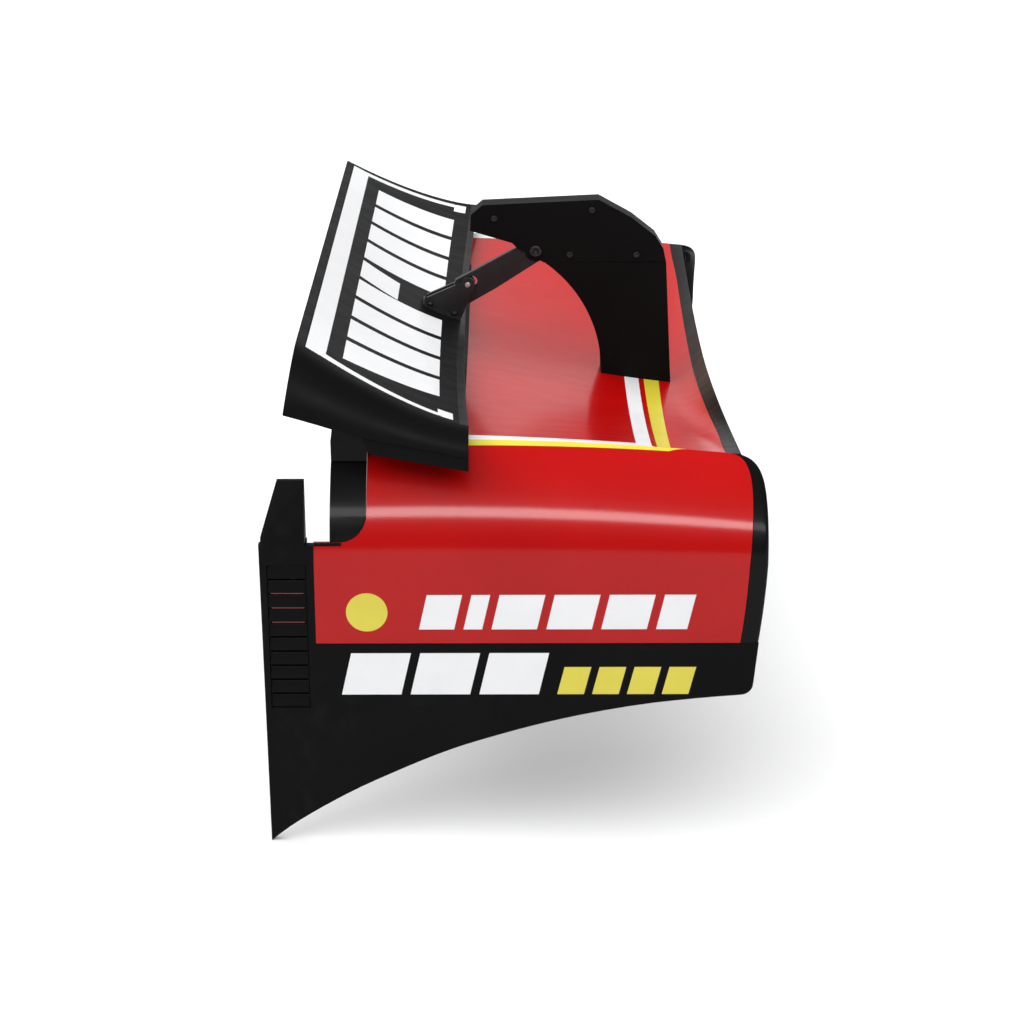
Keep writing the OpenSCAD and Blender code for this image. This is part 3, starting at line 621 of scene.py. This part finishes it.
def slat(z, sign):
    """One louvre blade: a rounded strip, tilted so that its upper edge stands back."""
    centre_y, half_y, half_z, tilt = HALF_SPAN - 2.0, 0.9, SLAT_H / 2, math.radians(13)
    verts, rings = [], 16
    xs = [LIGHT_X[0] + 0.3, LIGHT_X[0] + 1.0, LIGHT_X[1] - 1.0, LIGHT_X[1] - 0.3]
    for x, size in zip(xs, (0.72, 1.0, 1.0, 0.72)):
        for k in range(rings):
            a = 2 * math.pi * k / rings
            dy = half_y * size * math.copysign(abs(math.cos(a)) ** 0.6, math.cos(a))
            dz = half_z * size * math.copysign(abs(math.sin(a)) ** 0.6, math.sin(a))
            y = centre_y + dy * math.cos(tilt) - dz * math.sin(tilt)
            verts.append((x, sign * y, z + dy * math.sin(tilt) + dz * math.cos(tilt)))
    faces = []
    for i in range(3):
        for k in range(rings):
            a, b, n = i * rings, (i + 1) * rings, (k + 1) % rings
            faces.append([a + k, a + n, b + n, b + k])
    return verts, faces + [list(range(rings)), list(range(3 * rings, 4 * rings))]


def bar(x0, x1, y0, y1, z0, z1):
    """Straight bar as a closed shell; its edges are rounded by the piece's bevel."""
    return slab([[(x, y1, z) for z in (z0, z1)] for x in (x0, x1)],
                [[(x, y0, z) for z in (z0, z1)] for x in (x0, x1)])


def housing(sign):
    """Frame behind the louvres and the tray that closes it."""
    y0, y1 = HALF_SPAN - LIGHT_DEPTH, HALF_SPAN - 2.6
    tray = HALF_SPAN - 9.6
    x0, x1, z0, z1, wall = *LIGHT_X, *LIGHT_Z, 1.6
    parts = [
        bar(x0 + 0.15, x0 + wall, tray, y1, z0 + 0.2, z1 - 0.2),
        bar(x1 - wall, x1 - 0.15, tray, y1, z0 + 0.2, z1 - 0.2),
        bar(x0 + wall, x1 - wall, tray, y1, z0 + 0.2, z0 + 2.4),
        bar(x0 + wall, x1 - wall, tray, y1, z1 - 2.4, z1 - 0.2),
        bar(x0 + 0.15, x1 - 0.15, y0, tray, z0 + 0.2, z1 - 0.2),
        bar(x1 - 0.15, x1 + FLANGE_W, y0, HALF_SPAN - PLATE_T - 0.05, z0 + 0.2, z1 - 0.2),
    ]
    return join([(mirrored(v, sign), f) for v, f in parts])


for side, sign in SIDES:
    piece("light_tray_" + side, housing(sign), BLACK, nodes=["light_housing_" + side], bevel=0.4)
    blades = join([slat(LIGHT_Z[0] + 7.2 + i * SLAT_PITCH, sign) for i in range(SLATS)])
    piece("light_louvres_" + side, blades, BLACK, bevel=0)
    dress("light_lens_" + side, LENS, bevel=0.3)
    dress("light_board_" + side, BOARD, bevel=0)

# ---- Flap ----

FLAP_WS = steps(-1, 1, 110)
FLAP_VS = [FLAP_TE_V + (FLAP_LE_V - FLAP_TE_V) * t for t in steps(0, 1, 36)]
CAP_VS = steps(0, 0.36, 12)[:-1] + steps(0.36, 0.46, 10) + steps(0.46, 1, 18)[1:]


def flap_grid(face, vs, d=0.0):
    return [[face(v, w * crease_y(v), d) for v in vs] for w in FLAP_WS]


def cap_shell():
    angles = steps(0, 90, 18)
    return slab(
        [[cap_point(v, a, 0, skirt_line(v)) for v in CAP_VS] for a in angles],
        [[cap_point(v, a, CAP_WALL, skirt_line(v)) for v in CAP_VS] for a in angles],
    )


def cap_lip():
    """Lip under the skirt's front half, set back from its outer face."""
    vs, back = steps(0.40, 1, 24), 2.6

    def point(v, t, inset):
        z = skirt_z(v) + (skirt_line(v) + 3 - skirt_z(v)) * t
        y = skirt_y(v) - back - inset
        return (flap_x(v, crease_y(v) + GAP), y, max(z, skirt_z(v)))

    return slab([[point(v, t, 0) for v in vs] for t in steps(1, 0, 5)],
                [[point(v, t, CAP_WALL - back + 1.2) for v in vs] for t in steps(1, 0, 5)])


piece("flap_top_shell", slab(flap_grid(flap_top, FLAP_VS), flap_grid(flap_top, FLAP_VS, FLAP_SKIN)),
      BLACK, "flap", ["flap_upper_skin"])
piece("flap_under_shell", slab(flap_grid(flap_low, FLAP_VS, FLAP_SKIN), flap_grid(flap_low, FLAP_VS)),
      CARBON, "flap", ["flap_lower_skin"])
nose_vs = [1 - (1 - FLAP_LE_V) * t**1.8 for t in steps(1, 0, 8)]
piece("flap_nose_moulding", slab(flap_grid(flap_top, nose_vs), flap_grid(flap_low, nose_vs)),
      GLOSS_BLACK, "flap", ["flap_leading_edge"])
tail_vs = steps(0, FLAP_TE_V, 3)
piece("flap_tail_strip", slab(flap_grid(flap_top, tail_vs), flap_grid(flap_low, tail_vs)),
      BLACK, "flap", ["flap_trailing_edge"], bevel=0.6)
for side, sign in SIDES:
    verts, faces = cap_shell()
    piece("flap_corner_" + side, (mirrored(verts, sign), faces), BLACK, "flap", ["flap_tip_" + side],
          bevel=0.9, segments=3)
    verts, faces = cap_lip()
    piece("flap_corner_lip_" + side, (mirrored(verts, sign), faces), BLACK, "flap", bevel=0.5)
for node in ("flap_spar", "flap_ribs"):
    dress(node, CARBON, bevel=0)

# ---- Pylon, pod and linkage ----

dress("pylon", BLACK, bevel=1.6, segments=3)
for side, sign in SIDES:
    dress("pod_cover_" + side, BLACK, bevel=0.9, segments=3)
for node, look, width in (
    ("hardpoint_block", ALLOY, 0.8),
    ("actuator_cylinder", ALLOY, 0.5),
    ("cylinder_gland", BRONZE, 0.4),
    ("hydraulic_fitting", STEEL, 0.5),
    ("hydraulic_pipe", STEEL, 0.3),
    ("pylon_bolts", STEEL, 0.5),
    ("pivot_bushes", BRONZE, 0.4),
    ("flap_pivot_brackets", ANODISED, 0.8),
    ("flap_pivot_pins", STEEL, 0.5),
    ("flap_horn", ANODISED, 0.8),
    ("horn_insert", ALLOY, 0.3),
    ("horn_pin", STEEL, 0.4),
    ("horn_roller", BRONZE, 0.4),
    ("rocker", ANODISED, 0.9),
    ("rocker_bushes", BRONZE, 0.3),
    ("clevis", ALLOY, 0.6),
    ("clevis_pin", STEEL, 0.4),
    ("piston_rod", STEEL, 0.4),
    ("piston", BRONZE, 0.3),
):
    dress(node, look, bevel=width)

# ---- Fasteners with socket heads ----


def along_y(x, z, y, sign):
    """Placer for a screw whose head faces away from the centre plane (sign 1) or the other way."""
    return lambda a, b, h: (x + a, y + sign * h, z + b)


def along_z(x, y, z):
    return lambda a, b, h: (x + a, y + b, z + h)


def screw(turn, head_r, head_h, shank_r, shank_l):
    """Button-head screw: shank, domed head and a hexagonal socket."""
    socket = head_r * 0.52
    rings = [(shank_r * 0.8, -shank_l, False), (shank_r, -shank_l + 0.5, False), (shank_r, 0, False)]
    rings += [(head_r, 0, False), (head_r, head_h * 0.35, False)]
    for a in steps(15, 75, 4):
        c, s = math.cos(math.radians(a)), math.sin(math.radians(a))
        rings.append((head_r * (0.72 + 0.28 * c), head_h * (0.35 + 0.65 * s), False))
    rings += [(socket * 1.12, head_h, False), (socket, head_h * 0.92, True), (socket, head_h * 0.30, True)]
    rings.append((socket * 0.4, head_h * 0.22, False))
    return lathe(rings, turn)


POD_SCREWS = [(222, 521), (330, 530.5), (306, 480), (380, 480)]
POST_SCREW_ZS = (271, 287)
HORN_SCREW_XS, HORN_SCREW_Y, HORN_BASE = (150, 177), 12.5, 3
ROCKER = (268, 484)
HINGE_X = 80

heads = [screw(along_y(x, z, s * 14, s), 3.6, 2, 2, 12) for x, z in POD_SCREWS for s in (-1, 1)]
piece("pod_fasteners", join(heads), ANODISED, nodes=["pod_screws"], bevel=0)
heads = [screw(along_y(*ROCKER, s * 14, s), 7, 3, 4, 13) for s in (-1, 1)]
piece("rocker_axle", join(heads), ANODISED, nodes=["rocker_pin"], bevel=0)
heads = [screw(along_y(HINGE_X, z, s * (HALF_SPAN - PLATE_T - 8), -s), 5.2, 4, 3, 11)
         for z in POST_SCREW_ZS for s in (-1, 1)]
piece("post_fasteners", join(heads), STEEL, nodes=["post_bolts"], bevel=0)
heads = [screw(along_y(46, z, s * (HALF_SPAN - LIGHT_DEPTH), -s), 2.8, 2, 1.4, 9)
         for z in (LIGHT_Z[0] + 6, LIGHT_Z[1] - 6) for s in (-1, 1)]
piece("light_fasteners", join(heads), STEEL, nodes=["light_screws"], bevel=0)
heads = []
for x in HORN_SCREW_XS:
    v = (x - FLAP_TE[0]) / (flap_nose(16) - FLAP_TE[0])
    seat = flap_z(v, 16) + HORN_BASE + GAP + 2
    heads += [screw(along_z(x, s * HORN_SCREW_Y, seat), 3.4, 2.5, 2, 13) for s in (-1, 1)]
piece("horn_fasteners", join(heads), ANODISED, "flap", ["horn_screws"], bevel=0)

# ---- Livery: cut film laid on the shells ----

FILM_LIFT, FILM_T = 0.14, 0.10


def film(name, outlines, surface, look, body="root", step=7.0):
    """Film cut to convex outlines in a surface's own coordinates. surface(a, b) gives a point in mm."""
    bm = bmesh.new()
    for outline in outlines:
        part = bmesh.new()
        lo = [min(p[k] for p in outline) for k in (0, 1)]
        hi = [max(p[k] for p in outline) for k in (0, 1)]
        columns = max(1, math.ceil((hi[0] - lo[0]) / step))
        rows = max(1, math.ceil((hi[1] - lo[1]) / step))
        grid = [[part.verts.new((a, b, 0)) for b in steps(lo[1], hi[1], rows)]
                for a in steps(lo[0], hi[0], columns)]
        for i in range(columns):
            for j in range(rows):
                part.faces.new((grid[i][j], grid[i + 1][j], grid[i + 1][j + 1], grid[i][j + 1]))
        centre = [sum(p[k] for p in outline) / len(outline) for k in (0, 1)]
        for p, q in zip(outline, outline[1:] + outline[:1]):
            normal = Vector((q[1] - p[1], p[0] - q[0], 0))
            if normal.dot(Vector((centre[0] - p[0], centre[1] - p[1], 0))) > 0:
                normal.negate()
            everything = part.verts[:] + part.edges[:] + part.faces[:]
            bmesh.ops.bisect_plane(part, geom=everything, plane_co=(*p, 0), plane_no=normal,
                                   clear_outer=True)
        mesh = bpy.data.meshes.new("cut")
        part.to_mesh(mesh)
        part.free()
        bm.from_mesh(mesh)
        bpy.data.meshes.remove(mesh)
    bmesh.ops.remove_doubles(bm, verts=bm.verts, dist=0.01)
    for vert in bm.verts:
        a, b = vert.co.x, vert.co.y
        here = Vector(surface(a, b))
        normal = (Vector(surface(a + 0.5, b)) - here).cross(Vector(surface(a, b + 0.5)) - here)
        normal.normalize()
        outward = normal.z if abs(normal.z) > 0.2 else normal.y * (1 if here.y > 0 else -1)
        vert.co = here + normal * (FILM_LIFT if outward > 0 else -FILM_LIFT)
    verts = [tuple(v.co) for v in bm.verts]
    bm.verts.index_update()
    faces = [[v.index for v in f.verts] for f in bm.faces]
    bm.free()
    obj = piece(name, (verts, faces), look, body, bevel=0)
    thick = obj.modifiers.new("film_thickness", "SOLIDIFY")
    thick.thickness = FILM_T * MM
    thick.offset = 0
    obj.modifiers.move(len(obj.modifiers) - 1, 0)
    return obj


def leaning(x0, x1, z0, z1, lean):
    """Leaning block from x0 to x1 at its foot."""
    return [(x0, z0), (x1, z0), (x1 + lean, z1), (x0 + lean, z1)]


def row_of_blocks(x0, widths, gap, z0, z1, lean):
    blocks, x = [], x0
    for w in widths:
        blocks.append(leaning(x, x + w, z0, z1, lean))
        x += w + gap
    return blocks


def disc(x, z, r, n=40):
    return [(x + r * math.cos(2 * math.pi * k / n), z + r * math.sin(2 * math.pi * k / n)) for k in range(n)]


# Rows of blocks on an endplate: first x, widths, gap, foot, head and lean
UPPER_ROW = (150, (34, 18, 44, 44, 44, 30), 9, 229, 265, 8)
LOWER_ROW = (74, (58, 58, 58), 9, 160, 204, 10)
FRONT_ROW = (284, (26, 26, 26, 26), 8, 160, 189, 7)
ROUNDEL = (100, 247, 20)
# Stripes across the mainplane: x in the middle and at the tip, width in the middle and at the tip
WHITE_STRIPE, YELLOW_STRIPE = (369, 361, 16, 15), (391, 381, 17, 13)
STRIPE_START_Y = 14.4
# Lines along the crest: rear end, front corners and width
CREST_REAR, CREST_LINE_W = 180, 18
CREST_WHITE_FRONT, CREST_YELLOW_FRONT = (379, 362), (392, 410)
# Black trim along the notch's floor: its front end, its inset from the red edge and its two angles
TRIM_FRONT, TRIM_INSET, TRIM_ANGLES = 77, 0.6, (0.1, 1.9)
# A flap film's first coordinate counts 160 to the chord
FLAP_UNIT = 160
FLAP_BAND, FLAP_BAND_YS = (9, 27), (400, 403)


def on_flap(s, y):
    return flap_top(s / FLAP_UNIT, y)


def on_main(x, y):
    return (x, y, main_z(x, y))


for side, sign in SIDES:

    def on_plate(x, z, sign=sign):
        return (x, sign * HALF_SPAN, z)

    def on_roll(x, s, sign=sign):
        p = roll_point(x, 90 - s)
        return (p[0], sign * p[1], p[2])

    film("plate_blocks_upper_" + side, row_of_blocks(*UPPER_ROW), on_plate, WHITE)
    film("plate_blocks_lower_" + side, row_of_blocks(*LOWER_ROW), on_plate, WHITE)
    film("plate_blocks_front_" + side, row_of_blocks(*FRONT_ROW), on_plate, YELLOW)
    film("plate_roundel_" + side, [disc(*ROUNDEL)], on_plate, YELLOW)

    # Twin stripes across the mainplane, and the twin line that runs back along the crest
    def across(x_mid, x_tip, w_mid, w_tip, sign=sign):
        y0, y1 = sign * STRIPE_START_Y, sign * (CREST_Y - 1)
        return [(x_mid, y0), (x_mid + w_mid, y0), (x_tip + w_tip, y1), (x_tip, y1)]

    film("main_stripe_white_" + side, [across(*WHITE_STRIPE)], on_main, WHITE)
    film("main_stripe_yellow_" + side, [across(*YELLOW_STRIPE)], on_main, YELLOW)
    inner, outer = sign * (CREST_Y - CREST_LINE_W), sign * CREST_Y
    front_outer, front_inner = CREST_WHITE_FRONT
    film("crest_line_white_" + side,
         [[(CREST_REAR, inner), (CREST_REAR, outer), (front_outer, outer), (front_inner, inner)]],
         on_main, WHITE)
    front_low, front_top = CREST_YELLOW_FRONT
    film("crest_line_yellow_" + side, [[(CREST_REAR, 0), (CREST_REAR, 15), (front_low, 11), (front_top, 0)]],
         on_roll, YELLOW, step=3.0)

    trim_rear = RED_X + TRIM_INSET
    s0, s1 = (90 - NOTCH_A + a for a in TRIM_ANGLES)
    film("notch_trim_" + side, [[(trim_rear, s0), (TRIM_FRONT, s0), (TRIM_FRONT, s1), (trim_rear, s1)]],
         on_roll, BLACK, step=3.0)

    # Flap: spanwise band, and the line along the corner, which widens towards the nose
    (v0, v1), (y0, y1) = FLAP_BAND, (sign * y for y in FLAP_BAND_YS)
    film("flap_band_" + side, [[(v0, 0), (v1, 0), (v1, y1), (v0, y0)]], on_flap, WHITE, "flap")
    film("flap_edge_line_" + side,
         [[(27, sign * 389), (27, sign * 403), (132, sign * 433), (132, sign * 422)],
          [(132, sign * 406), (132, sign * 433), (146, sign * 436), (146, sign * 410)]],
         on_flap, WHITE, "flap")

# Leaning blocks on the flap; the middle one stops short of the horn
BLOCK_PITCH, BLOCK_REAR, BLOCK_FRONT, HORN_FRONT = 82, 42, 134, 84
BLOCK_LONG, BLOCK_SHORT, BLOCK_SKEW = 44, 24, 40
blocks = []
for k in range(-4, 5):
    y = BLOCK_PITCH * k
    reach = HORN_FRONT if k == 0 else BLOCK_FRONT
    shift = BLOCK_SKEW * (BLOCK_FRONT - reach) / (BLOCK_FRONT - BLOCK_REAR)
    blocks.append([(BLOCK_REAR, y - BLOCK_LONG), (BLOCK_REAR, y + BLOCK_SHORT),
                   (reach, y + BLOCK_LONG - shift), (reach, y - BLOCK_SHORT - shift)])
film("flap_blocks", blocks, on_flap, WHITE, "flap")

# ---- Stage, lights and camera ----

FLOOR_Z = -MOUNT_Z * MM
FLOOR_HALF, FLOOR_CELLS, FLOOR_GLOW = 30.0, 12, 0.25
WORLD_TINT, WORLD_STRENGTH = (0.96, 0.98, 1.0, 1.0), 0.14
SUN_STRENGTH, SUN_SPREAD, SUN_TILT = 5.3, 90, (10, -14)
CENTRE = (-0.12, 0.0, 0.05)
SENSOR, LENS_LENGTH = 36, 82.86
CAMERA_PLACE, CAMERA_TURN = (-0.1434, -2.5684, 0.8405), (69.27, 0, -0.227)


def softbox(name, place, aim, size, watts, diffuse=True):
    light = bpy.data.lights.new(name, "AREA")
    light.shape = "RECTANGLE"
    light.size, light.size_y = size
    light.energy = watts
    obj = bpy.data.objects.new(name, light)
    obj.location = place
    obj.rotation_euler = (Vector(aim) - Vector(place)).to_track_quat("-Z", "Y").to_euler()
    obj.visible_camera = False
    obj.visible_diffuse = diffuse
    bpy.context.scene.collection.objects.link(obj)


def floor():
    bm = bmesh.new()
    line = steps(-FLOOR_HALF, FLOOR_HALF, FLOOR_CELLS)
    grid = [[bm.verts.new((x, y, FLOOR_Z - 0.0005)) for y in line] for x in line]
    for i in range(FLOOR_CELLS):
        for j in range(FLOOR_CELLS):
            bm.faces.new((grid[i][j], grid[i + 1][j], grid[i + 1][j + 1], grid[i][j + 1]))
    mesh = bpy.data.meshes.new("floor")
    bm.to_mesh(mesh)
    bm.free()
    r = Recipe("pale_paper")
    color = r.blend(r.noise(3.0), (0.66, 0.66, 0.66), (0.68, 0.68, 0.68))
    r.finish(color, r.spread(r.noise(8.0), 0.3, 0.7, 0.75, 0.85), r.bump(r.noise(300.0), 0.02, 0.0002))
    r.link(color, r.shader.inputs["Emission Color"])
    r.shader.inputs["Emission Strength"].default_value = FLOOR_GLOW
    mesh.materials.append(r.material)
    obj = bpy.data.objects.new("floor", mesh)
    bpy.context.scene.collection.objects.link(obj)


floor()

world = bpy.data.worlds.new("studio")
world.use_nodes = True
world.node_tree.nodes["Background"].inputs["Color"].default_value = WORLD_TINT
world.node_tree.nodes["Background"].inputs["Strength"].default_value = WORLD_STRENGTH
bpy.context.scene.world = world

sun = bpy.data.lights.new("overhead", "SUN")
sun.energy = SUN_STRENGTH
sun.angle = math.radians(SUN_SPREAD)
sun_obj = bpy.data.objects.new("overhead", sun)
sun_obj.rotation_euler = (*map(math.radians, SUN_TILT), 0)
sun_obj.visible_glossy = False
bpy.context.scene.collection.objects.link(sun_obj)

softbox("key", (-0.12, -3.6, 2.40), (-0.12, -0.45, 0.05), (5.6, 0.62), 195, diffuse=False)
softbox("back", (0.0, 9.5, 4.0), CENTRE, (15.0, 7.2), 250)

camera = bpy.data.cameras.new("camera")
camera.sensor_width = SENSOR
camera.lens = LENS_LENGTH
camera.clip_end = 100
camera_obj = bpy.data.objects.new("camera", camera)
camera_obj.location = CAMERA_PLACE
camera_obj.rotation_euler = tuple(map(math.radians, CAMERA_TURN))
bpy.context.scene.collection.objects.link(camera_obj)
bpy.context.scene.camera = camera_obj
bpy.context.scene.view_settings.view_transform = "Standard"
